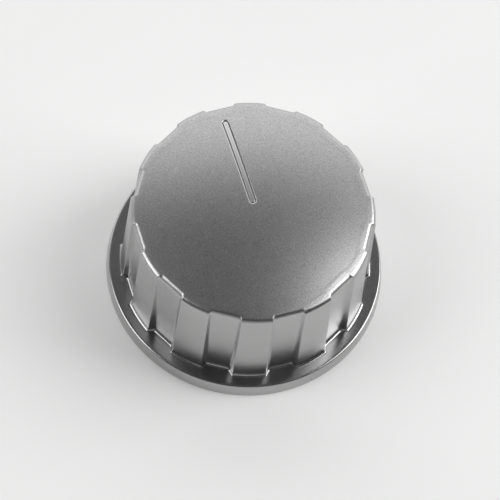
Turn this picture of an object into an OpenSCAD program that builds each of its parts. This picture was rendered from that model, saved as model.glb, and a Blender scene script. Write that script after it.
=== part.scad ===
// Fluted dial knob with a domed crown, an indicator groove and a spring-clamped shaft hub.
// Millimetres, +Z up. The origin is on the knob's axis, in the plane that the skirt rests on.
// The indicator groove points along +Y.

/* [Skirt] */
// Diameter of the skirt at its base
skirt_d = 60; // [58:0.5:72]
// Height of the skirt's top face above its base
skirt_h = 3.5; // [2.5:0.1:6]
// How far the skirt's wall leans in from its base to its top edge
skirt_lean = 0.5; // [0.2:0.1:1]
// Rounding of the skirt's top edge
skirt_lip_r = 0.4; // [0.2:0.1:0.6]
// Thickness of the skirt's wall
skirt_wall = 2; // [1.4:0.1:2.6]
// Thickness of the skirt's top
skirt_top_t = 1.9; // [1.4:0.1:2.2]

/* [Grip] */
// Diameter over the lands where their wall would meet the crown
grip_rim_d = 51; // [46:0.1:52]
// Diameter over the lands at the foot of the grip
grip_foot_d = 53.5; // [52.5:0.1:55]
// Height of the rim above the base
grip_h = 28.6; // [24:0.1:36]
// Rounding of the rim
rim_r = 1.2; // [0.6:0.1:1.3]
// Fillet at the foot of the lands and flutes
foot_r = 0.6; // [0.3:0.1:0.9]
// Thickness of the wall behind the flutes
grip_wall = 2; // [1.4:0.1:3]

/* [Flutes] */
// Number of flutes around the grip
flute_count = 12; // [8:1:14]
// Width of a flute at its mouth
flute_mouth_w = 6.9; // [4:0.1:8]
// Depth of a flute at the rim
flute_rim_depth = 0.7; // [0.5:0.05:1]
// Depth of a flute at its foot
flute_foot_depth = 1.32; // [0.9:0.02:2]
// Angle by which each side of a flute leans outward
flute_flare = 42; // [20:1:50]

/* [Crown] */
// Rise of the dome above the rim
crown_rise = 2.4; // [1.5:0.1:5]
// Thickness of the crown
crown_wall = 2.4; // [1.6:0.1:3.2]
// Distance from the axis to the inner end of the indicator groove
pointer_start = 0.4; // [0.2:0.1:6]
// Distance from the axis to the outer end of the indicator groove
pointer_end = 21.3; // [14:0.1:22]
// Width of the indicator groove at its mouth
pointer_w = 1.5; // [1.1:0.1:3]
// Width of the groove's floor
pointer_floor_w = 0.9; // [0.4:0.1:1]
// Depth of the indicator groove
pointer_depth = 0.4; // [0.2:0.1:1]

/* [Hub] */
// Diameter of the shaft that the knob fits
shaft_d = 6; // [5:0.1:7]
// Thickness of the shaft across its flat
shaft_flat = 4.5; // [4:0.1:5]
// Clearance between the shaft and the D-shaped socket, on the radius
socket_clearance = 0.05; // [0.03:0.01:0.08]
// Clearance between the shaft and the round lead-in, on the radius
lead_clearance = 0.25; // [0.22:0.01:0.4]
// Length of the round lead-in, from the hub's mouth to the D-shaped socket
lead_l = 4; // [3:0.1:6]
// Length of the D-shaped socket behind the lead-in
socket_l = 18; // [12:0.5:19]
// Chamfer at the mouth of the lead-in
mouth_chamfer = 0.5; // [0.2:0.1:1]
// Outer diameter of the hub
hub_d = 13; // [11:0.1:15]
// Height of the hub's mouth above the base
hub_inset = 2; // [1:0.1:3]
// Width of the two slits that let the hub close on the shaft
slit_w = 1; // [0.6:0.1:1.6]
// Length of the slits from the hub's mouth
slit_l = 11; // [9:0.5:13]
// Thickness of the ribs between the hub and the wall
rib_t = 1.5; // [1:0.1:2]
// Distance from the end of the slits to the lower edge of the ribs
rib_gap = 1.5; // [0.5:0.1:3]

/* [Spring] */
// Width of the spring band along the axis
spring_w = 4; // [2.5:0.1:5]
// Thickness of the spring band
spring_t = 0.6; // [0.4:0.05:0.8]
// Angle left open between the ends of the spring band
spring_opening = 40; // [20:5:90]
// Height of the spring's seat above the hub's mouth
spring_h = 3; // [1.5:0.1:4]
// Clearance between the spring band and its seat
spring_clearance = 0.05; // [0.03:0.01:0.1]

/* [Hidden] */
$fn = 96;

// Cuts run this far past the faces that they open
past = 1;
// A flute's rim rounding stands this far above the dome, so that the two surfaces cross
rim_crossing = 0.02;

skirt_base_r = skirt_d/2;
skirt_edge_r = skirt_base_r - skirt_lean;
skirt_tilt = atan(skirt_lean/skirt_h);
skirt_hollow_h = skirt_h - skirt_top_t;

// Walls of the lands and floors of the flutes, each a straight taper from foot to rim
wall_h = grip_h - skirt_h;
land_rim = grip_rim_d/2;
land_foot = grip_foot_d/2;
floor_rim = land_rim - flute_rim_depth;
floor_foot = land_foot - flute_foot_depth;
mouth_foot = sqrt(pow(land_foot, 2) - pow(flute_mouth_w/2, 2));

// Dome of the crown, a sphere through the rim
crown_top = grip_h + crown_rise;
crown_r = (pow(land_rim, 2) + pow(crown_rise, 2))/(2*crown_rise);
crown_z = crown_top - crown_r;

// Hub and spring
lead_r = shaft_d/2 + lead_clearance;
socket_r = shaft_d/2 + socket_clearance;
socket_flat = shaft_flat - shaft_d/2 + socket_clearance;
socket_base = hub_inset + lead_l;
slit_end = hub_inset + slit_l;
spring_base = hub_inset + spring_h;
seat_r = hub_d/2 - spring_t;

// A tapered wall at height z, from its distances to the axis at foot and rim, and its lean
function wall_at(foot, rim, z) = foot + (rim - foot)*(z - skirt_h)/wall_h;
function wall_lean(foot, rim) = atan((foot - rim)/wall_h);
function skirt_at(z) = skirt_base_r - skirt_lean*z/skirt_h;
function normal(lean) = [cos(lean), sin(lean)];

// Centre of an arc of radius r inside a tapered wall and a dome of radius dome_r
function rim_centre(foot, rim, r, dome_r) =
    let (slope = (rim - foot)/wall_h)
    let (start = wall_at(foot, rim, crown_z) - r/cos(wall_lean(foot, rim)))
    let (square = 1 + slope*slope)
    let (rest = pow(start, 2) - pow(dome_r - r, 2))
    let (up = (-start*slope + sqrt(pow(start*slope, 2) - square*rest))/square)
    [start + slope*up, crown_z + up];

// Centre of the fillet of radius r between the skirt's top and a tapered wall
function foot_centre(foot, rim, r) =
    [wall_at(foot, rim, skirt_h + r) + r/cos(wall_lean(foot, rim)), skirt_h + r];

// Patch between a corner and the arc that rounds it. The arc touches the sides at side_a and side_b
module corner_patch(corner, centre, side_a, side_b, r) {
    difference() {
        polygon([centre, side_a, 2*corner - centre, side_b]);
        translate(centre) circle(r);
    }
}

// Patch at the rim, where a tapered wall meets a dome of radius dome_r
module rim_patch(foot, rim, r, dome_r) {
    centre = rim_centre(foot, rim, r, dome_r);
    upward = centre - [0, crown_z];
    wall_side = centre + r*normal(wall_lean(foot, rim));
    crown_side = centre + r*upward/norm(upward);
    corner_patch([rim, grip_h], centre, wall_side, crown_side, r);
}

// Patch at the foot, where a tapered wall meets the skirt's top
module foot_patch(foot, rim, r) {
    centre = foot_centre(foot, rim, r);
    wall_side = centre - r*normal(wall_lean(foot, rim));
    corner_patch([foot, skirt_h], centre, wall_side, [centre.x, skirt_h], r);
}

// Patch at the skirt's top edge
module lip_patch() {
    lip_z = skirt_h - skirt_lip_r;
    centre = [skirt_at(lip_z) - skirt_lip_r/cos(skirt_tilt), lip_z];
    wall_side = centre + skirt_lip_r*normal(skirt_tilt);
    corner_patch([skirt_edge_r, skirt_h], centre, wall_side, [centre.x, skirt_h], skirt_lip_r);
}

// Half section of a dome of radius dome_r over the axis
module dome_section(dome_r) {
    intersection() {
        translate([0, crown_z]) circle(dome_r);
        square([skirt_d, crown_top + past]);
    }
}

// Half section of skirt, lands and crown, before the flutes are cut
module outer_section() {
    difference() {
        union() {
            intersection() {
                dome_section(crown_r);
                polygon([
                    [0, 0],
                    [skirt_base_r, 0],
                    [skirt_edge_r, skirt_h],
                    [land_foot, skirt_h],
                    [wall_at(land_foot, land_rim, crown_top), crown_top],
                    [0, crown_top]
                ]);
            }
            foot_patch(land_foot, land_rim, foot_r);
        }
        rim_patch(land_foot, land_rim, rim_r, crown_r);
        lip_patch();
    }
}

// Side view of what a flute removes, with the fillet at its foot and the rounding at its rim
module flute_section() {
    difference() {
        union() {
            polygon([
                [floor_foot, skirt_h],
                [skirt_d, skirt_h],
                [skirt_d, crown_top + past],
                [wall_at(floor_foot, floor_rim, crown_top + past), crown_top + past]
            ]);
            rim_patch(floor_foot, floor_rim, rim_r, crown_r + rim_crossing);
        }
        foot_patch(floor_foot, floor_rim, foot_r);
    }
}

// Flute cutter on the +Y side: the side view, kept between two leaning sides
module flute() {
    spread = tan(flute_flare);
    half_w = flute_mouth_w/2;
    intersection() {
        translate([-skirt_base_r, 0, 0])
            rotate([90, 0, 90]) linear_extrude(skirt_d) flute_section();
        translate([0, mouth_foot, skirt_h]) rotate([wall_lean(land_foot, land_rim), 0, 0])
            translate([0, 0, -skirt_h]) linear_extrude(2*crown_top)
                polygon([
                    [0, -half_w/spread],
                    [half_w + skirt_h*spread, skirt_h],
                    [-half_w - skirt_h*spread, skirt_h]
                ]);
    }
}

// Half section of the hollow under the crown, which follows the flutes' floors
module hollow_section() {
    hollow_foot = floor_foot - grip_wall;
    hollow_rim = floor_rim - grip_wall;
    intersection() {
        translate([0, crown_z]) circle(crown_r - crown_wall);
        polygon([
            [0, -past],
            [skirt_at(-past) - skirt_wall, -past],
            [skirt_at(skirt_hollow_h) - skirt_wall, skirt_hollow_h],
            [wall_at(hollow_foot, hollow_rim, skirt_hollow_h), skirt_hollow_h],
            [wall_at(hollow_foot, hollow_rim, crown_top), crown_top],
            [0, crown_top]
        ]);
    }
}

// What is taken out below the crown: the hollow, less the hub and the four ribs that stand in it
module hollow() {
    rib_base = slit_end + rib_gap;
    difference() {
        rotate_extrude() hollow_section();
        translate([0, 0, hub_inset]) cylinder(d = hub_d, h = crown_top);
        for (turn = [0, 90])
            rotate([0, 0, turn]) translate([-skirt_base_r, -rib_t/2, rib_base])
                cube([skirt_d, rib_t, crown_top]);
    }
}

// Round lead-in and D-shaped socket, with the flat on the side away from the indicator
module shaft_hole() {
    translate([0, 0, hub_inset - past]) cylinder(r = lead_r, h = lead_l + past);
    translate([0, 0, hub_inset - past])
        cylinder(r1 = lead_r + mouth_chamfer + past, r2 = lead_r, h = mouth_chamfer + past);
    translate([0, 0, socket_base - past]) linear_extrude(socket_l + past)
        difference() {
            circle(socket_r);
            translate([-shaft_d, -shaft_d - socket_flat]) square([2*shaft_d, shaft_d]);
        }
}

// Two slits across the hub, in line
module hub_slits() {
    translate([-hub_d/2 - past, -slit_w/2, hub_inset - past])
        cube([hub_d + 2*past, slit_w, slit_l + past]);
}

// Shallow seat for the spring round the hub
module spring_seat() {
    translate([0, 0, spring_base]) difference() {
        cylinder(r = hub_d/2 + past, h = spring_w + 2*spring_clearance);
        translate([0, 0, -past]) cylinder(r = seat_r, h = spring_w + 2*past);
    }
}

// Groove with leaning sides and round ends, swept over the dome from near the axis towards the rim
module pointer_groove() {
    floor_half = pointer_floor_w/2;
    mouth_half = pointer_w/2;
    top_half = mouth_half + past*(mouth_half - floor_half)/pointer_depth;
    floor_r = crown_r - pointer_depth;
    start = asin((pointer_start + mouth_half)/crown_r);
    end = asin((pointer_end - mouth_half)/crown_r);
    translate([0, 0, crown_z]) rotate([0, -90, 0]) {
        rotate([0, 0, start]) rotate_extrude(angle = end - start)
            polygon([
                [floor_r, -floor_half],
                [crown_r + past, -top_half],
                [crown_r + past, top_half],
                [floor_r, floor_half]
            ]);
        for (turn = [start, end])
            rotate([0, 0, turn]) rotate([0, 90, 0]) translate([0, 0, floor_r])
                cylinder(r1 = floor_half, r2 = top_half, h = pointer_depth + past);
    }
}

module knob_body() {
    color("silver") difference() {
        rotate_extrude() outer_section();
        for (i = [0 : flute_count - 1]) rotate([0, 0, i*360/flute_count]) flute();
        hollow();
        shaft_hole();
        hub_slits();
        spring_seat();
        pointer_groove();
    }
}

// Open band round the hub, with its gap in line with a slit
module hub_spring() {
    color("slategray") rotate([0, 0, spring_opening/2]) rotate_extrude(angle = 360 - spring_opening)
        translate([seat_r + spring_clearance, spring_base + spring_clearance]) square([spring_t, spring_w]);
}

knob_body();
hub_spring();
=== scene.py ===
# %% [markdown]
# # A fluted dial knob, plated in satin chrome
#
# The object is a control knob about 60 mm across. It is one moulding with a bright metal plating:
# a thin skirt, a tapered grip with twelve flat flutes, and a gently domed crown with one straight
# groove that points at the setting. Under the crown it is hollow, with a hub for a 6 mm shaft and
# a steel spring band that closes the hub on that shaft.
#
# The construction model already has the right sizes, so this lesson loads it as a fixed frame and
# builds finer skins in the same place. Everything is in metres there, and the knob's own sizes
# are easier to read in millimetres, so one factor turns the one into the other.

# %% Load the frame
import math

import bpy
import numpy as np
from mathutils import Euler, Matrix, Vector
from mathutils.geometry import delaunay_2d_cdt


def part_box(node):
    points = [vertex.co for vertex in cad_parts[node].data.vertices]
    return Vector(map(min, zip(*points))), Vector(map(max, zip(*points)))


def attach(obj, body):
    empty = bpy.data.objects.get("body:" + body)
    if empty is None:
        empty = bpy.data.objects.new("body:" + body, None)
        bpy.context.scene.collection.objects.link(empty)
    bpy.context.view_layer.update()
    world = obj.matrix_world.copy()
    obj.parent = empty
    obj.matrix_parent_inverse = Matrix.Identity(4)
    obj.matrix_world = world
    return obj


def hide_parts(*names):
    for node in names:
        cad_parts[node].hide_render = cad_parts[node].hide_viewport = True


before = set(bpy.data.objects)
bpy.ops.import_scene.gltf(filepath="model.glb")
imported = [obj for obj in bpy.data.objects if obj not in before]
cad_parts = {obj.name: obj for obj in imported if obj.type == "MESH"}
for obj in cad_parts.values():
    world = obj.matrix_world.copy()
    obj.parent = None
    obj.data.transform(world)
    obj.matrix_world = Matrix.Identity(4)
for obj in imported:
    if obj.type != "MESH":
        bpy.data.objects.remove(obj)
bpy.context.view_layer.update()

MM = 0.001


# %% [markdown]
# ## Small tools for meshes
#
# Three shapes of mesh cover the whole knob. A grid of rows and columns is good for skins that run
# round an axis, a loft joins equal loops of points into a closed solid, and a revolve turns a half
# section about the axis. Corners that show are rounded, because a moulding has no knife edge and
# because only a rounded edge catches a highlight. A bevel afterwards could do that, but it is hard
# to steer where many edges meet. So sections are written as a few corners with a radius each, and
# one function replaces each corner by its arc.

# %% Sections with rounded corners
ARC_STEP = math.radians(12)


def rounded(corners, closed=True):
    """Points of an outline whose corners are (x, y, radius). An open outline keeps its two ends."""
    points = []
    count = len(corners)
    for i, (x, y, radius) in enumerate(corners):
        corner = Vector((x, y))
        at_end = not closed and i in (0, count - 1)
        if radius == 0 or at_end:
            points.append(corner)
            continue
        before = (Vector(corners[i - 1][:2]) - corner).normalized()
        after = (Vector(corners[(i + 1) % count][:2]) - corner).normalized()
        half = before.angle(after)/2
        centre = corner + (before + after).normalized()*radius/math.sin(half)
        start = corner + before*radius/math.tan(half) - centre
        end = corner + after*radius/math.tan(half) - centre
        turn = math.atan2(start.x*end.y - start.y*end.x, start.dot(end))
        steps = max(2, math.ceil(abs(turn)/ARC_STEP))
        for step in range(steps + 1):
            angle = math.atan2(start.y, start.x) + turn*step/steps
            points.append(centre + radius*Vector((math.cos(angle), math.sin(angle))))
    return [tuple(p) for p in points]


square = [(-1, -1, 0.2), (1, -1, 0.2), (1, 1, 0.2), (-1, 1, 0.2)]
print("a square of side 2 with 0.2 corners has", len(rounded(square)), "points")

# %% Solids from loops and half sections
TURN_COLUMNS = 240


def piece_from(name, points, faces):
    """New object from points in millimetres and faces, linked to the scene."""
    mesh = bpy.data.meshes.new(name)
    mesh.from_pydata([tuple(float(c)*MM for c in p) for p in points], [], faces)
    mesh.validate()
    piece = bpy.data.objects.new(name, mesh)
    bpy.context.scene.collection.objects.link(piece)
    return piece


def loft(name, loops):
    """Closed solid through loops of points, all of one length, with a flat cap at each end."""
    size = len(loops[0])
    faces = [list(range(size - 1, -1, -1))]
    for row in range(len(loops) - 1):
        for i in range(size):
            a, b = row*size + i, row*size + (i + 1) % size
            faces.append((a, b, b + size, a + size))
    faces.append([(len(loops) - 1)*size + i for i in range(size)])
    return piece_from(name, [p for loop in loops for p in loop], faces)


def revolve(name, section, columns=TURN_COLUMNS):
    """Closed solid from a half section of (r, z) points that starts and ends on the axis."""
    inner = section[1:-1]
    points = [(0, 0, section[0][1]), (0, 0, section[-1][1])]
    for i in range(columns):
        angle = 2*math.pi*i/columns
        points += [(r*math.cos(angle), r*math.sin(angle), z) for r, z in inner]
    faces = []
    size = len(inner)
    for i in range(columns):
        a, b = 2 + i*size, 2 + (i + 1) % columns*size
        faces.append((0, b, a))
        faces += [(a + k, b + k, b + k + 1, a + k + 1) for k in range(size - 1)]
        faces.append((1, a + size - 1, b + size - 1))
    return piece_from(name, points, faces)


print("columns of a turned solid:", TURN_COLUMNS)

# %% [markdown]
# ## The grip's wall as a formula
#
# Seen from above, the grip is a circle with twelve shallow flats cut into it. The raised stretches
# between them are the lands. One could cut the flutes with booleans and bevel every edge, but the
# bevels would collide where a flute runs out into the rim. A formula is calmer: for any angle and
# height it takes the lower of two surfaces, the land and the flute, and blends them over a small
# width where they cross. The flute itself is the higher of its floor and its leaning sides. The
# blends are the soft edges that the plated moulding has.

# %% Sizes of skirt, grip and crown
_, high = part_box("knob_body")
skirt_r = high.x/MM
crown_top = high.z/MM
skirt_h = 3.5
skirt_lean = 0.5
grip_h = 28.6
land_foot, land_rim = 26.75, 25.5
floor_foot, floor_rim = 25.43, 24.8
flute_count = 12
flute_mouth_w = 6.9
flute_side_lean = math.radians(42)
flute_spread = math.tan(flute_side_lean)
mouth_foot = math.sqrt(land_foot**2 - (flute_mouth_w/2)**2)
land_edge_blend = 0.14
floor_edge_blend = 0.3
crown_rise = crown_top - grip_h
crown_r = (land_rim**2 + crown_rise**2)/(2*crown_rise)
crown_z = crown_top - crown_r
print("radius of the crown's dome in mm:", round(crown_r, 1))


# %% Wall and dome
def lower_of(a, b, width):
    """The lower of two surfaces, rounded over a width where they cross."""
    near = np.maximum(width - np.abs(a - b), 0)/width
    return np.minimum(a, b) - near*near*width/4


def wall_radius(turn, z):
    """Distance from the axis to the grip's wall. turn is the angle from the nearest flute's middle."""
    share = (z - skirt_h)/(grip_h - skirt_h)
    land = land_foot + (land_rim - land_foot)*share
    mouth = mouth_foot + (land_rim - land_foot)*share
    floor = (floor_foot + (floor_rim - floor_foot)*share)/np.cos(turn)
    side = (mouth*flute_spread - flute_mouth_w/2)/(flute_spread*np.cos(turn) - np.sin(np.abs(turn)))
    flute = -lower_of(-floor, -side, floor_edge_blend)
    return lower_of(land, flute, land_edge_blend)


def dome_z(r, depth=0.0):
    """Height of the crown's dome, or of a surface at a depth below it, at a distance from the axis."""
    return crown_z + np.sqrt((crown_r - depth)**2 - r**2)


sector = math.pi/flute_count
print("flute depth at rim and foot in mm:",
      [round(float(wall_radius(sector, z) - wall_radius(0, z)), 2) for z in (grip_h, skirt_h)])

# %% [markdown]
# ## The outer skin
#
# This is all that a hand touches: the edge of the crown, the rim, the fluted wall, the foot and the
# skirt. It could be put together from separate rings, but then each seam would show in the metal.
# So the skin is one grid. Each column is a cut through the knob at one angle, and it runs from the
# crown over the rim, down the wall, through the fillet at the foot and over the skirt to the base.
# Columns crowd together at the flutes' edges, where the surface turns quickly, and are wide apart
# on the flats. The rim's arc touches both the dome and the wall, whose distance from the axis is
# different at each angle, so its centre is found by a few rounds of trying: move out to the wall,
# then up to the dome, and again. Plating grows a little thicker near an edge, so a very low bead,
# about a hundredth of a millimetre, follows the rim on the crown and shows as a soft band.

# %% Columns of the grid
edge_from, edge_to = 4.9, 8.5  # degrees from a flute's middle
flat_columns, edge_columns = 8, 28
half_turns = np.radians(np.concatenate([
    np.linspace(0, edge_from, flat_columns, endpoint=False),
    np.linspace(edge_from, edge_to, edge_columns, endpoint=False),
    np.linspace(edge_to, math.degrees(sector), flat_columns, endpoint=False)]))
sector_turns = np.concatenate([[-sector], -half_turns[:0:-1], half_turns])
turns = np.tile(sector_turns, flute_count)
middles = math.pi/2 + 2*sector*np.repeat(np.arange(flute_count), len(sector_turns))
angles = middles + turns
column_count = len(angles)
print("columns:", column_count)

# %% Rim
rim_r = 1.2
rim_rounds = 12
rim_steps = 9
lean_reach = 0.1


def wall_lean(z):
    """Angle by which the wall leans in at a height, for each column."""
    drawn_in = wall_radius(turns, z - lean_reach) - wall_radius(turns, z + lean_reach)
    return np.arctan2(drawn_in, 2*lean_reach)


def arc_rows(centre_r, centre_z, radius, start, end, steps):
    """Rows of points on an arc in each column, from one angle to another."""
    shares = np.linspace(0, 1, steps + 1)[:, None]
    sweep = start + (end - start)*shares + np.zeros(column_count)
    return centre_r + radius*np.cos(sweep), centre_z + radius*np.sin(sweep)


rim_z = np.full(column_count, grip_h - rim_r)
for _ in range(rim_rounds):
    lean = wall_lean(rim_z)
    rim_centre_r = wall_radius(turns, rim_z + rim_r*np.sin(lean)) - rim_r*np.cos(lean)
    rim_z = crown_z + np.sqrt((crown_r - rim_r)**2 - rim_centre_r**2)
crown_angle = np.arctan2(rim_z - crown_z, rim_centre_r)
rim_rows = arc_rows(rim_centre_r, rim_z, rim_r, crown_angle, lean, rim_steps)
print("rim centre from", round(float(rim_centre_r.min()), 2),
      "to", round(float(rim_centre_r.max()), 2), "mm out")

# %% Foot and skirt
foot_r = 0.6
lip_r = 0.4
base_edge_r = 0.15
foot_steps, lip_steps, base_steps = 7, 6, 5
skirt_tilt = math.atan(skirt_lean/skirt_h)


def skirt_at(z):
    """Distance from the axis to the skirt's wall at a height."""
    return skirt_r - skirt_lean*z/skirt_h


foot_z = skirt_h + foot_r
foot_lean = wall_lean(foot_z)
foot_centre_r = wall_radius(turns, foot_z - foot_r*np.sin(foot_lean)) + foot_r*np.cos(foot_lean)
foot_rows = arc_rows(foot_centre_r, foot_z, foot_r, math.pi + foot_lean, 1.5*math.pi, foot_steps)
lip_z = skirt_h - lip_r
lip_rows = arc_rows(skirt_at(lip_z) - lip_r/math.cos(skirt_tilt), lip_z, lip_r,
                    math.pi/2, skirt_tilt, lip_steps)
base_rows = arc_rows(skirt_at(base_edge_r) - base_edge_r/math.cos(skirt_tilt), base_edge_r, base_edge_r,
                     skirt_tilt, -math.pi/2, base_steps)
top_width = lip_rows[0][0] - foot_rows[0][-1]
print("the skirt's flat top is", round(float(top_width.min()), 2),
      "to", round(float(top_width.max()), 2), "mm wide")

# %% The whole grid
crown_ring_r = 22.0
bead_w, bead_h = 1.7, 0.012
crown_steps, wall_steps, top_steps = 11, 8, 4


def between(first, last, steps):
    """Rows between two rows of values, without the two themselves."""
    shares = np.linspace(0, 1, steps + 2)[1:-1, None]
    return first + (last - first)*shares


ring = np.full(column_count, crown_ring_r)
crown_rows_r = np.vstack([ring, between(ring, rim_rows[0][0], crown_steps)])
bead_share = np.clip((rim_rows[0][0] - crown_rows_r)/bead_w, 0, 1)
crown_rows_z = dome_z(crown_rows_r) + bead_h*np.sin(math.pi*bead_share)**2
wall_z = between(rim_rows[1][-1], foot_rows[1][0], wall_steps)
wall_r = np.array([wall_radius(turns, z) for z in wall_z])
top_r = between(foot_rows[0][-1], lip_rows[0][0], top_steps)
rows_r = np.vstack([crown_rows_r, rim_rows[0], wall_r, foot_rows[0], top_r, lip_rows[0], base_rows[0]])
rows_z = np.vstack([crown_rows_z, rim_rows[1], wall_z, foot_rows[1],
                    np.full_like(top_r, skirt_h), lip_rows[1], base_rows[1]])
skin_points = np.stack([rows_r*np.cos(angles), rows_r*np.sin(angles), rows_z], axis=-1).reshape(-1, 3)
row_count = len(rows_r)
skin_faces = []
for row in range(row_count - 1):
    for i in range(column_count):
        a, b = row*column_count + i, row*column_count + (i + 1) % column_count
        skin_faces.append((a, a + column_count, b + column_count, b))
print("skin grid:", row_count, "rows,", len(skin_faces), "faces")

# %% [markdown]
# ## The crown and its groove
#
# Inside the first ring of the grid the crown is a plain dome with one groove. The groove's sides
# lean and end in a rounded lip. Along its floor lies a low strip with a narrow channel on either
# side, and strip, channels and lip draw thin bright and dark lines, which a painted highlight and
# painted shade in the plating's colour make stronger. A boolean could cut the groove, but its lip
# would then need a bevel that is hard to keep even on a dome. Its outline is the same at every depth,
# a straight line with round ends, so loops at growing distances from that line carry the profile.
# The rest of the dome needs only scattered points. A Delaunay triangulation joins ring, loops and
# points, and every point then gets its height from the dome less the groove's depth.

# %% Groove profile
pointer_start, pointer_end = 0.4, 21.3
pointer_half = 0.75
pointer_floor_half = 0.57
pointer_depth = 0.32
groove_corner_r = 0.04
groove_lip_r = 0.22
strip_half = 0.42
strip_depth = 0.14
strip_edge_r = 0.12
lip_margin = 0.15
groove_margin = 0.5
line_from = pointer_start + pointer_half
line_to = pointer_end - pointer_half
groove_profile = rounded([
    (0, -strip_depth, 0),
    (strip_half, -strip_depth, strip_edge_r),
    (pointer_floor_half, -pointer_depth, groove_corner_r),
    (pointer_half, 0, groove_lip_r),
    (pointer_half + groove_margin, 0, 0)], closed=False)
groove_loops = [(distance, -drop) for distance, drop in groove_profile[1:]]
groove_loops.insert(-1, (groove_loops[-2][0] + lip_margin, 0.0))
print("groove loops:", len(groove_loops), "reach in mm:", round(groove_loops[-1][0], 2))

# %% Crown points
line_steps = 56
end_steps = 16
fill_step = 0.9
fill_clearance = 0.6*fill_step


def capsule(distance):
    """Loop at a distance from the groove's middle line, which runs along +Y."""
    loop = [(distance, y) for y in np.linspace(line_from, line_to, line_steps, endpoint=False)]
    loop += [(distance*math.cos(a), line_to + distance*math.sin(a))
             for a in np.linspace(0, math.pi, end_steps, endpoint=False)]
    loop += [(-distance, y) for y in np.linspace(line_to, line_from, line_steps, endpoint=False)]
    loop += [(distance*math.cos(a), line_from + distance*math.sin(a))
             for a in np.linspace(math.pi, 2*math.pi, end_steps, endpoint=False)]
    return loop


flat_points = [Vector(p[:2]) for p in skin_points[:column_count]]
depths = [0.0]*column_count
loop_edges = [(i, (i + 1) % column_count) for i in range(column_count)]
for distance, depth in groove_loops:
    first = len(flat_points)
    loop = capsule(distance)
    flat_points += [Vector(p) for p in loop]
    depths += [depth]*len(loop)
    loop_edges += [(first + i, first + (i + 1) % len(loop)) for i in range(len(loop))]
clear_of_groove = groove_loops[-1][0] + fill_clearance
for r in np.arange(fill_step, crown_ring_r - fill_step/2, fill_step):
    ring_count = int(2*math.pi*r/fill_step)
    for angle in 2*math.pi*np.arange(ring_count)/ring_count:
        point = Vector((r*math.cos(angle), r*math.sin(angle)))
        on_line = Vector((0, min(max(point.y, line_from), line_to)))
        if (point - on_line).length > clear_of_groove:
            flat_points.append(point)
            depths.append(0.0)
for y in np.linspace(line_from, line_to, line_steps):
    flat_points.append(Vector((0, y)))
    depths.append(strip_depth)
print("crown points:", len(flat_points))

# %% Crown triangles and the closed skin
inside_only = 1
merge_within = 1e-7
crown_flat, _, crown_faces, origins, _, _ = delaunay_2d_cdt(
    flat_points, loop_edges, [], inside_only, merge_within)
crown_points = []
crown_index = []
for point, origin in zip(crown_flat, origins):
    source = origin[0]
    if source < column_count:
        crown_index.append(source)
        continue
    crown_index.append(len(skin_points) + len(crown_points))
    crown_points.append((point.x, point.y, dome_z(point.length, depths[source])))
base_face = [(row_count - 1)*column_count + i for i in range(column_count)]
all_faces = skin_faces + [tuple(crown_index[v] for v in face) for face in crown_faces] + [base_face[::-1]]
body = piece_from("knob_skin", list(skin_points) + crown_points, all_faces)
print("crown triangles:", len(crown_faces), "skin polygons:", len(body.data.polygons))

# %% [markdown]
# ## The hollow underside
#
# The moulding is a shell of about 2 mm, because thick plastic would sink and warp. What is taken
# out is a turned hollow, less the hub and four ribs that hold it. One could model every inner wall
# as a skin of its own, but the skins would have to meet exactly. Modelling the empty space as a
# solid, and then cutting it from the outer skin, keeps each shape simple: the hollow and the hub
# with its spring seat are half sections with rounded corners, turned about the axis, and a rib is a
# loft whose top flares into the ceiling.

# %% Hollow
skirt_wall = 2.0
skirt_hollow_h = 1.6
grip_wall = 2.0
crown_wall = 2.4
mouth_bevel = 0.15
step_outer_r, step_inner_r = 0.4, 0.3
ceiling_edge_r = 1.0
ceiling_steps = 14
past = 1.0


def hollow_at(z):
    """Distance from the axis to the hollow's wall at a height."""
    return floor_foot - grip_wall + (floor_rim - floor_foot)*(z - skirt_h)/(grip_h - skirt_h)


ceiling_corner_r = hollow_at(dome_z(hollow_at(grip_h), crown_wall))
mouth_r = skirt_at(mouth_bevel) - skirt_wall
hollow_corners = [
    (0, -past, 0),
    (mouth_r + mouth_bevel + past, -past, 0),
    (mouth_r, mouth_bevel, 0),
    (skirt_at(skirt_hollow_h) - skirt_wall, skirt_hollow_h, step_outer_r),
    (hollow_at(skirt_hollow_h), skirt_hollow_h, step_inner_r),
    (ceiling_corner_r, dome_z(ceiling_corner_r, crown_wall), ceiling_edge_r)]
hollow_corners += [(r, dome_z(r, crown_wall), 0)
                   for r in np.linspace(ceiling_corner_r, 0, ceiling_steps)[1:]]
hollow = revolve("hollow", rounded(hollow_corners, closed=False))
print("hollow's wall in mm:", [round(float(hollow_at(z)), 2) for z in (skirt_hollow_h, grip_h)])

# %% Hub
hub_r = 6.5
hub_mouth = 2.0
hub_edge_r = 0.3
seat_r, seat_low, seat_high = 5.9, 5.0, 9.1
seat_edge_r = 0.1
ceiling_fillet = 0.7
hub_flare_r = hub_r + 2*ceiling_fillet
hub_corners = [
    (0, hub_mouth, 0),
    (hub_r, hub_mouth, hub_edge_r),
    (hub_r, seat_low, seat_edge_r),
    (seat_r, seat_low, seat_edge_r),
    (seat_r, seat_high, seat_edge_r),
    (hub_r, seat_high, seat_edge_r),
    (hub_r, dome_z(hub_r, crown_wall), ceiling_fillet),
    (hub_flare_r, dome_z(hub_flare_r, crown_wall), 0),
    (hub_flare_r, crown_top, 0),
    (0, crown_top, 0)]
hub = revolve("hub", rounded(hub_corners, closed=False))
print("hub length in mm:", round(float(dome_z(hub_r, crown_wall)) - hub_mouth, 2))

# %% Ribs
rib_count = 4
rib_t = 1.5
rib_base = 14.5
rib_edge_r = 0.3
rib_steps = 10


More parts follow.
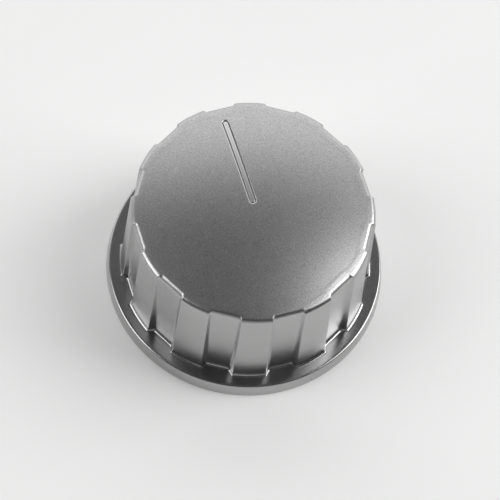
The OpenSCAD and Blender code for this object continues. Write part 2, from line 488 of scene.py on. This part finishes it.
def rib(turn):
    """One rib from the axis out past the hollow's wall, with a flared top under the ceiling."""
    half = rib_t/2
    flare = half + 2*ceiling_fillet
    along = Vector((math.cos(turn), math.sin(turn)))
    across = Vector((-math.sin(turn), math.cos(turn)))
    loops = []
    for r in np.linspace(0, ceiling_corner_r + past, rib_steps):
        ceiling = float(dome_z(min(r, ceiling_corner_r), crown_wall))
        outline = rounded([
            (half, rib_base, rib_edge_r),
            (half, ceiling, ceiling_fillet),
            (flare, ceiling, 0),
            (flare, crown_top, 0),
            (-flare, crown_top, 0),
            (-flare, ceiling, 0),
            (-half, ceiling, ceiling_fillet),
            (-half, rib_base, rib_edge_r)])
        loops.append([(*(along*r + across*s), z) for s, z in outline])
    return loft("rib", loops)


ribs = [rib(2*math.pi*i/rib_count) for i in range(rib_count)]
print("ribs:", len(ribs))

# %% Shaft hole and slits
lead_r = 3.25
lead_top = 6.0
lead_chamfer = 0.5
lead_edge_r = 0.1
lead_columns = 128
socket_r = 3.05
socket_flat = 1.55
socket_top = 24.0
socket_steps = 90
slit_w = 1.0
slit_top = 13.0
slit_end_r = 0.3
lead = revolve("lead", rounded([
    (0, hub_mouth - past, 0),
    (lead_r + lead_chamfer + past, hub_mouth - past, 0),
    (lead_r, hub_mouth + lead_chamfer, 0),
    (lead_r, lead_top, lead_edge_r),
    (0, lead_top, 0)], closed=False), columns=lead_columns)
flat_turn = math.asin(socket_flat/socket_r)
socket_outline = [(socket_r*math.cos(a), socket_r*math.sin(a))
                  for a in np.linspace(-flat_turn, math.pi + flat_turn, socket_steps)]
socket = loft("socket", [[(x, y, z) for x, y in socket_outline] for z in (lead_top - past, socket_top)])
slit_outline = rounded([
    (-slit_w/2, hub_mouth - past, 0),
    (slit_w/2, hub_mouth - past, 0),
    (slit_w/2, slit_top, slit_end_r),
    (-slit_w/2, slit_top, slit_end_r)])
slit = loft("slit", [[(x, y, z) for y, z in slit_outline] for x in (-hub_r - past, hub_r + past)])
print("socket across its flat in mm:", round(socket_r + socket_flat, 2))

# %% Cut the skin
body_sharp_from = math.radians(35)


def cut(piece, tool):
    """Cuts a closed mesh from another, and removes the tool."""
    step = piece.modifiers.new("cut", "BOOLEAN")
    step.object = tool
    step.operation = "DIFFERENCE"
    step.solver = "MANIFOLD"
    graph = bpy.context.evaluated_depsgraph_get()
    shaped = bpy.data.meshes.new_from_object(piece.evaluated_get(graph))
    piece.modifiers.clear()
    piece.data = shaped
    bpy.data.objects.remove(tool)


for solid in [hub, *ribs]:
    cut(hollow, solid)
for cutter in (hollow, lead, socket, slit):
    cut(body, cutter)
body.name = "knob_body_plated"
body.data.shade_smooth()
body.data.set_sharp_from_angle(angle=body_sharp_from)
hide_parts("knob_body")
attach(body, "root")
body.data.calc_loop_triangles()
print("knob body triangles:", len(body.data.loop_triangles))

# %% [markdown]
# ## The spring band
#
# A strip of spring steel is bent into an open ring and pushed over the hub into its seat. The strip
# was slit from a sheet and tumbled, so its long edges and its two ends are slightly rounded. A
# curve with a bevel would give the ring, but not the rounded ends. So it is a loft round the axis:
# the same rounded section at each station, drawn in at the two ends.

# %% Make the spring
spring_inner_r = 5.95
spring_t = 0.6
spring_low, spring_high = 5.05, 9.05
spring_opening = math.radians(40)
spring_edge_r = 0.12
spring_stations = 120
spring_end_stations = 5
spring_sharp_from = math.radians(40)


def spring_loop(angle, drawn_in):
    """The strip's section at an angle round the hub, drawn in by a little at its ends."""
    inner, outer = spring_inner_r + drawn_in, spring_inner_r + spring_t - drawn_in
    bottom, top = spring_low + drawn_in, spring_high - drawn_in
    section = rounded([(r, z, spring_edge_r) for r, z in
                       ((inner, bottom), (outer, bottom), (outer, top), (inner, top))])
    return [(r*math.cos(angle), r*math.sin(angle), z) for r, z in section]


spring_from, spring_to = spring_opening/2, 2*math.pi - spring_opening/2
end_sweep = spring_edge_r/spring_inner_r
first_end = []
for share in np.linspace(0, 1, spring_end_stations):
    rise = math.sqrt(1 - (1 - share)**2)
    first_end.append((spring_from + end_sweep*share, spring_edge_r*(1 - rise)))
last_end = [(2*math.pi - angle, drawn_in) for angle, drawn_in in first_end[::-1]]
body_angles = np.linspace(spring_from + end_sweep, spring_to - end_sweep, spring_stations)[1:-1]
stations = first_end + [(angle, 0.0) for angle in body_angles] + last_end
spring = loft("hub_spring_band", [spring_loop(*station) for station in stations])
spring.data.shade_smooth()
spring.data.set_sharp_from_angle(angle=spring_sharp_from)
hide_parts("hub_spring")
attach(spring, "root")
print("spring stations:", len(stations), "polygons:", len(spring.data.polygons))

# %% [markdown]
# ## Satin chrome
#
# The plating is bright metal, and its look comes from the mould below it. Walls and crown are about
# equally satin and mirror softly, and the skirt and the foot are smoother. The crown also has a fine
# grain of about a quarter of a millimetre, in its colour and as bump. The groove has no grain. Its
# colour holds a painted highlight, lighter on the strip and the lip, and painted shade, darker in its
# channels. Each zone could have a material of its own, but then hard seams would run between them.
# So one material does all: masks by height, and by the distance from the groove's line, tell the
# zones apart and fade from one to the next. The roughness wanders a little everywhere, as plating
# does.

# %% Helpers for materials
NOISE_LOW, NOISE_HIGH = 0.3, 0.7


def new_material(name):
    """Material with nodes, and its shader."""
    material = bpy.data.materials.new(name)
    material.use_nodes = True
    return material, material.node_tree, material.node_tree.nodes["Principled BSDF"]


def add_node(tree, kind, settings=None, inputs=None):
    """Adds one node. settings are its own values, inputs are values or sockets by input name or number."""
    node = tree.nodes.new(kind)
    for key, value in (settings or {}).items():
        setattr(node, key, value)
    for key, value in (inputs or {}).items():
        if isinstance(value, bpy.types.NodeSocket):
            tree.links.new(value, node.inputs[key])
        else:
            node.inputs[key].default_value = value
    return node


def maths(tree, operation, a, b=0.0):
    """Result of one sum on values or sockets."""
    return add_node(tree, "ShaderNodeMath", {"operation": operation}, {0: a, 1: b}).outputs["Value"]


def remap(tree, value, from_low, from_high, to_low, to_high, smooth=False):
    """Value moved from one range to another."""
    kind = "SMOOTHSTEP" if smooth else "LINEAR"
    return add_node(tree, "ShaderNodeMapRange", {"interpolation_type": kind},
                    {"Value": value, "From Min": from_low, "From Max": from_high,
                     "To Min": to_low, "To Max": to_high}).outputs["Result"]


def noise(tree, where, size, detail):
    """Noise with features of about a size in metres."""
    return add_node(tree, "ShaderNodeTexNoise", {},
                    {"Vector": where, "Scale": 1/size, "Detail": detail}).outputs["Fac"]


def add_bump(tree, shader, height, depth, strength):
    """Bump of a depth in metres on a shader."""
    bump = add_node(tree, "ShaderNodeBump", {},
                    {"Strength": strength, "Distance": depth, "Height": height})
    tree.links.new(bump.outputs["Normal"], shader.inputs["Normal"])


print("noise is read between", NOISE_LOW, "and", NOISE_HIGH)

# %% Zones of the plating
groove_fade = (0.80, 0.90)
rim_fade = (grip_h - 0.2, grip_h + 0.2)
foot_fade = (skirt_h + 0.2, skirt_h + 1.2)
chrome, tree, shader = new_material("satin_chrome_plating")
shader.inputs["Metallic"].default_value = 1.0
where = add_node(tree, "ShaderNodeTexCoord").outputs["Object"]
across, along, height = add_node(tree, "ShaderNodeSeparateXYZ", {}, {"Vector": where}).outputs
before_line = maths(tree, "SUBTRACT", line_from*MM, along)
after_line = maths(tree, "SUBTRACT", along, line_to*MM)
past_end = maths(tree, "MAXIMUM", maths(tree, "MAXIMUM", before_line, after_line), 0.0)
across_squared = maths(tree, "MULTIPLY", across, across)
past_squared = maths(tree, "MULTIPLY", past_end, past_end)
off_line = maths(tree, "SQRT", maths(tree, "ADD", across_squared, past_squared))
off_groove = remap(tree, off_line, groove_fade[0]*MM, groove_fade[1]*MM, 0, 1, smooth=True)
above_rim = remap(tree, height, rim_fade[0]*MM, rim_fade[1]*MM, 0, 1, smooth=True)
on_crown = maths(tree, "MULTIPLY", off_groove, above_rim)
on_skirt = remap(tree, height, foot_fade[0]*MM, foot_fade[1]*MM, 1, 0, smooth=True)
print("zones fade at heights in mm:", [round(z, 2) for z in foot_fade + rim_fade])

# %% Roughness of the plating
wander_size, wander_detail = 1.2, 3.0
satin_rough = (0.285, 0.31)
smooth_rough = (0.195, 0.22)
wander = noise(tree, where, wander_size*MM, wander_detail)
side_rough = remap(tree, wander, NOISE_LOW, NOISE_HIGH, *satin_rough)
skirt_rough = remap(tree, wander, NOISE_LOW, NOISE_HIGH, *smooth_rough)
less = maths(tree, "SUBTRACT", skirt_rough, side_rough)
rough = maths(tree, "ADD", side_rough, maths(tree, "MULTIPLY", less, on_skirt))
tree.links.new(rough, shader.inputs["Roughness"])
print("roughness of walls and crown:", satin_rough, "of skirt and foot:", smooth_rough)

# %% Colour and grain of the plating
grain_size, grain_detail = 0.23, 0.0
grain_depth, grain_strength = 0.016, 1.0
grain_tone = 0.07
plain = 0.45
# Painted highlight and painted shade along the groove: lighter grey on the strip and the lip, darker grey
# in the two channels.
groove_light_and_shade_stops = [
    (0, 0.52), (0.30, 0.66), (0.42, 0.64), (0.48, 0.30),
    (0.66, 0.26), (0.74, 0.58), (0.88, 0.56), (0.94, plain)]  # mm from the groove's line, grey


def colour_ramp(tree, value, stops):
    """Colour that follows a value between 0 and 1, through stops of (value, colour)."""
    node = add_node(tree, "ShaderNodeValToRGB", {}, {"Fac": value})
    elements = node.color_ramp.elements
    for i, (place, colour) in enumerate(stops):
        stop = elements[i] if i < 2 else elements.new(1.0)
        stop.position = place
        stop.color = (*colour, 1)
    return node.outputs["Color"]


def grey_ramp(tree, value, stops):
    """Grey that follows a value between 0 and 1, through stops of (value, grey)."""
    return colour_ramp(tree, value, [(place, (grey, grey, grey)) for place, grey in stops])


grain = noise(tree, where, grain_size*MM, grain_detail)
speckle = remap(tree, grain, NOISE_LOW, NOISE_HIGH, -grain_tone, grain_tone)
line_mm = maths(tree, "DIVIDE", off_line, MM)
# The groove's painted highlight and painted shade, laid over the plain grey on the crown only.
painted_groove_light_and_shade = maths(tree, "SUBTRACT", grey_ramp(tree, line_mm, groove_light_and_shade_stops), plain)
tone = maths(tree, "ADD", maths(tree, "MULTIPLY", painted_groove_light_and_shade, above_rim), plain)
tone = maths(tree, "ADD", tone, maths(tree, "MULTIPLY", speckle, on_crown))
tree.links.new(tone, shader.inputs["Base Color"])
add_bump(tree, shader, maths(tree, "MULTIPLY", grain, on_crown), grain_depth*MM, grain_strength)
body.data.materials.clear()
body.data.materials.append(chrome)
print("satin chrome nodes:", len(tree.nodes))

# %% [markdown]
# ## Spring steel
#
# The strip was rolled, so it has fine lines along its length and a darker, bluer grey than the
# plating. Each line could be modelled, but they are far too fine to show as shapes. Round the hub
# they are circles at one height, so a noise that is stretched across the axis and fine along it
# gives them, in the roughness and as a slight bump.

# %% Make the spring steel
line_stretch = 20
line_size, line_detail = 0.12, 3.0
line_depth, line_strength = 0.004, 0.6
steel_rough = (0.24, 0.40)
cloud_size, cloud_detail = 1.5, 3.0
steel_stops = [(0.3, (0.36, 0.37, 0.39)), (0.75, (0.46, 0.46, 0.47))]
steel, tree, shader = new_material("rolled_spring_steel")
shader.inputs["Metallic"].default_value = 1.0
where = add_node(tree, "ShaderNodeTexCoord").outputs["Object"]
rolled = add_node(tree, "ShaderNodeMapping", {},
                  {"Vector": where, "Scale": (1/line_stretch, 1/line_stretch, 1.0)}).outputs["Vector"]
lines = noise(tree, rolled, line_size*MM, line_detail)
rough = remap(tree, lines, NOISE_LOW, NOISE_HIGH, *steel_rough)
tree.links.new(rough, shader.inputs["Roughness"])
tint = colour_ramp(tree, noise(tree, where, cloud_size*MM, cloud_detail), steel_stops)
tree.links.new(tint, shader.inputs["Base Color"])
add_bump(tree, shader, lines, line_depth*MM, line_strength)
spring.data.materials.clear()
spring.data.materials.append(steel)
print("spring steel nodes:", len(tree.nodes))

# %% [markdown]
# ## Floor
#
# The knob lies on plain white card. A card is never quite even, so it has a faint cloudiness in its
# colour. More light would make it as white as it should look, but that would also flood the metal.
# So the card has a pale glow of its own, which only rays from the camera, from a mirror or through
# glass can see, and which lights no matt surface. It is the stage and not part of the knob.

# %% Make the floor
floor_half = 1.0
floor_drop = 0.02
floor_glow = 0.085
card_cloud_size, card_cloud_detail = 40, 3.0
card_stops = [(0.0, (0.85, 0.85, 0.845)), (1.0, (0.88, 0.88, 0.875))]
floor_mesh = bpy.data.meshes.new("floor")
floor_mesh.from_pydata([(-floor_half, -floor_half, 0), (floor_half, -floor_half, 0),
                        (floor_half, floor_half, 0), (-floor_half, floor_half, 0)], [], [(0, 1, 2, 3)])
floor = bpy.data.objects.new("floor", floor_mesh)
bpy.context.scene.collection.objects.link(floor)
floor.location.z = -floor_drop*MM
card, tree, shader = new_material("white_card")
where = add_node(tree, "ShaderNodeTexCoord").outputs["Object"]
tint = colour_ramp(tree, noise(tree, where, card_cloud_size*MM, card_cloud_detail), card_stops)
tree.links.new(tint, shader.inputs["Base Color"])
shader.inputs["Roughness"].default_value = 0.7
shader.inputs["Specular IOR Level"].default_value = 0.2
output = tree.nodes["Material Output"]
rays = add_node(tree, "ShaderNodeLightPath").outputs
seen = maths(tree, "MAXIMUM", rays["Is Camera Ray"], rays["Is Glossy Ray"])
seen = maths(tree, "MAXIMUM", seen, rays["Is Transmission Ray"])
pale = add_node(tree, "ShaderNodeEmission", {}, {"Strength": maths(tree, "MULTIPLY", seen, floor_glow)})
both = add_node(tree, "ShaderNodeAddShader", {}, {0: shader.outputs["BSDF"], 1: pale.outputs["Emission"]})
tree.links.new(both.outputs["Shader"], output.inputs["Surface"])
floor_mesh.materials.append(card)
print("floor side in m:", 2*floor_half)

# %% [markdown]
# ## Light
#
# Metal shows its surroundings, so the surroundings are the light here. Behind the knob there is a
# bright wall, which reaches a little round the sides. Overhead and in front it is dark, and that is
# the slow shading over the crown. Some light low at the front keeps the front of the rim from going
# black. An upright panel stands on the right and a dimmer one on the left, and they draw the white
# lines along the rim, the foot and the skirt. The wall could be lamps too, but lamps have edges
# that the crown would mirror. So wall and dark are a smooth ramp in the world, by how far back a
# direction points, and only the panels are area lamps.

# %% Directions as the camera sees them
front = Vector((-0.427, -0.905, 0)).normalized()
right = Vector((-front.y, front.x, 0))
up = Vector((0, 0, 1))
print("front:", [round(c, 3) for c in front], "right:", [round(c, 3) for c in right])

# %% World
glow_turn = math.radians(9)
side_share = 0.16
wall_stops = [
    (-1.0, 0.5), (-0.88, 0.42), (-0.76, 0.18), (-0.64, 0.06), (-0.2, 0.06), (0.05, 0.11), (0.3, 0.11),
    (0.46, 0.1), (0.54, 0.26), (0.62, 0.82), (0.70, 1.35), (0.80, 1.35), (1.0, 1.25)]  # reach, light
world = bpy.data.worlds.new("studio")
bpy.context.scene.world = world
world.use_nodes = True
tree = world.node_tree
direction = add_node(tree, "ShaderNodeTexCoord").outputs["Generated"]


def share_along(axis):
    """How far a direction of the world points along an axis, from -1 to 1."""
    return add_node(tree, "ShaderNodeVectorMath", {"operation": "DOT_PRODUCT"},
                    {0: direction, 1: tuple(axis)}).outputs["Value"]


backward = share_along(-front*math.cos(glow_turn) - right*math.sin(glow_turn))
sideways = maths(tree, "ABSOLUTE", share_along(right))
reach = maths(tree, "ADD", backward, maths(tree, "MULTIPLY", sideways, side_share))
ramp_stops = [((place + 1)/2, light) for place, light in wall_stops]
wall = grey_ramp(tree, remap(tree, reach, -1, 1, 0, 1), ramp_stops)
tree.links.new(wall, tree.nodes["Background"].inputs["Color"])
print("world stops:", len(wall_stops))

# %% Light panels
panel_distance = 0.7


def light_panel(name, azimuth, half_width, low_edge, high_edge, light):
    """Upright area lamp that faces the knob's axis. Its place and edges are angles in degrees, azimuth
    from the camera's side round to the right, edges above the floor. light is how bright it looks."""
    turn = math.radians(azimuth)
    outward = front*math.cos(turn) + right*math.sin(turn)
    bottom = panel_distance*math.tan(math.radians(low_edge))
    top = panel_distance*math.tan(math.radians(high_edge))
    lamp = bpy.data.lights.new(name, "AREA")
    lamp.shape = "RECTANGLE"
    lamp.size = 2*panel_distance*math.tan(math.radians(half_width))
    lamp.size_y = top - bottom
    lamp.energy = light*math.pi*lamp.size*lamp.size_y
    panel = bpy.data.objects.new(name, lamp)
    bpy.context.scene.collection.objects.link(panel)
    panel.location = outward*panel_distance + up*(bottom + top)/2
    panel.rotation_euler = outward.to_track_quat("Z", "Y").to_euler()
    return panel


panels = [
    light_panel("right_panel", azimuth=106, half_width=22, low_edge=18, high_edge=69, light=4.0),
    light_panel("left_panel", azimuth=-75, half_width=21, low_edge=16, high_edge=65, light=2.4)]
print("lamps:", [panel.name for panel in panels])

# %% [markdown]
# ## Camera
#
# The photograph looks down on the knob from a long way off with a long lens, and its camera is
# turned a little about its own axis. Three free angles would aim it as well, but they are hard to
# read. So the camera has a place, a point that it looks at, and a roll.

# %% Make the camera
camera_place = Vector((-94.4, -199.95, 476.5))*MM
camera_aim = Vector((0.41, -0.63, 10.0))*MM
camera_roll = math.radians(9.53)
camera_data = bpy.data.cameras.new("camera")
camera_data.lens = 173.7
camera_data.sensor_width = 36.0
camera = bpy.data.objects.new("camera", camera_data)
bpy.context.scene.collection.objects.link(camera)
camera.location = camera_place
look = (camera_aim - camera_place).to_track_quat("-Z", "Y")
camera.rotation_euler = (look.to_matrix() @ Euler((0, 0, camera_roll)).to_matrix()).to_euler()
bpy.context.scene.camera = camera
bpy.context.scene.view_settings.view_transform = "Standard"
print("camera is", round((camera_aim - camera_place).length, 3), "m away")
